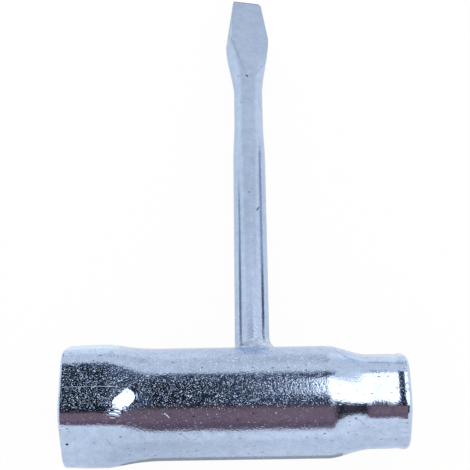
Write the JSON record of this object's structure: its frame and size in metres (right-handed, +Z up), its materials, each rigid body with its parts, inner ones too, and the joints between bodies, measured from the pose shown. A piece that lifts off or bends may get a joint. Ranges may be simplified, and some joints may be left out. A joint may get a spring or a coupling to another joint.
{
  "type": "chainsaw combination wrench",
  "caption": "T-shaped chainsaw wrench: a swaged steel tube with a hexagon nut socket at each end, and a welded cross shank forged to a flat screwdriver blade.",
  "frame": {"origin": "on the surface that the tool lies on, under the middle of its bounding box", "axes": "+X along the tube, from the large socket to the small one; +Y along the shank towards the blade, which dips to the surface by about 6 degrees; +Z up"},
  "size_m": [0.076, 0.1284, 0.0273],
  "materials": {
    "tube_zinc": "bright blue-white zinc plate over drawn and swaged steel tube, finely pitted",
    "shank_zinc": "satin blue-white zinc plate over drawn and forged steel bar",
    "weld_zinc": "satin blue-white zinc plate over a small weld fillet"
  },
  "bodies": {
    "root": {"socket_tube": "tube_zinc", "driver_shank": "shank_zinc", "weld_bead": "weld_zinc"}
  },
  "joints": []
}
